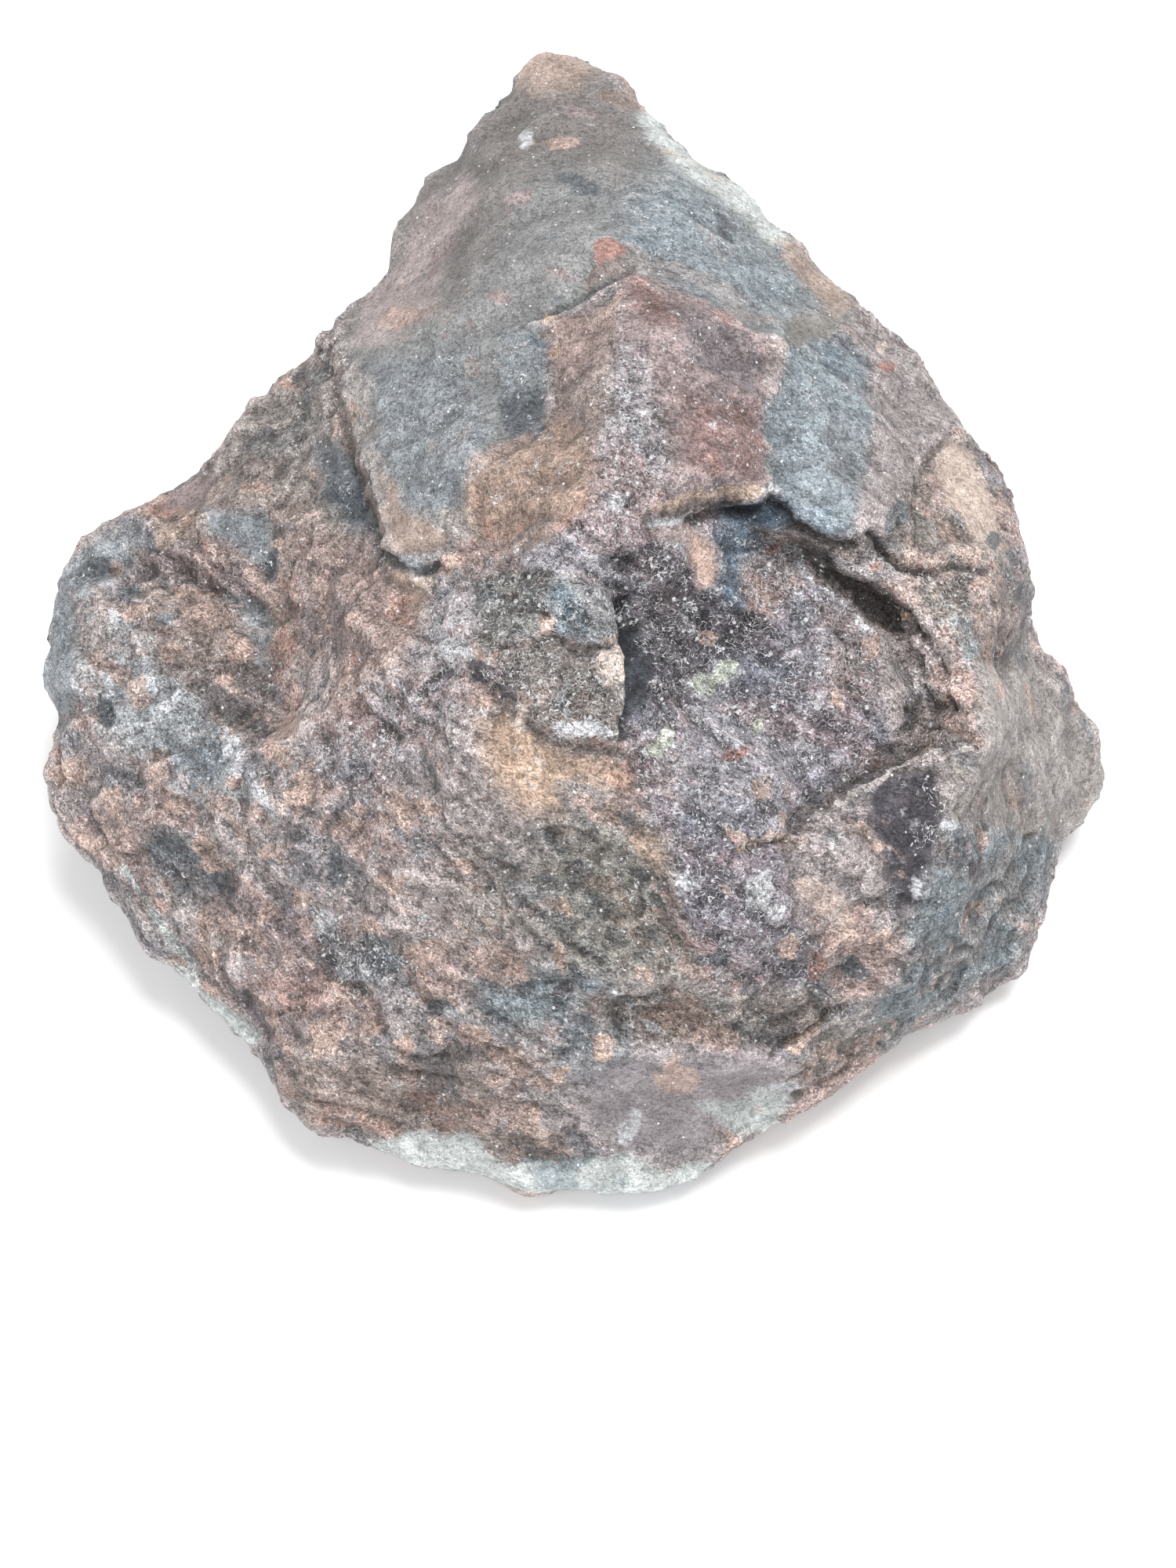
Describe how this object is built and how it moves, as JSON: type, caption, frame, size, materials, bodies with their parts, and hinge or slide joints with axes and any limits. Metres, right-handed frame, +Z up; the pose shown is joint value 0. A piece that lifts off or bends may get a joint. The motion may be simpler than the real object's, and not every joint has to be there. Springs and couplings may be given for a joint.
{
  "type": "soapstone block",
  "caption": "Rough unworked lump of mottled soapstone, pointed at one end, with a flat side to lie on and a shallow chipped hollow on top; raw stone for carving.",
  "frame": {"origin": "centre of the box around the stone, in the plane of the flat side it lies on", "axes": "+Z up from the flat side, +Y towards the pointed end, +X towards the low toe at its right"},
  "size_m": [0.2256, 0.2422, 0.1158],
  "materials": {
    "soapstone": "rough broken stone, mottled charcoal purple, grey brown, blue grey and salmon, with fine glints"
  },
  "bodies": {
    "root": {"soapstone_block": "soapstone"}
  },
  "joints": []
}
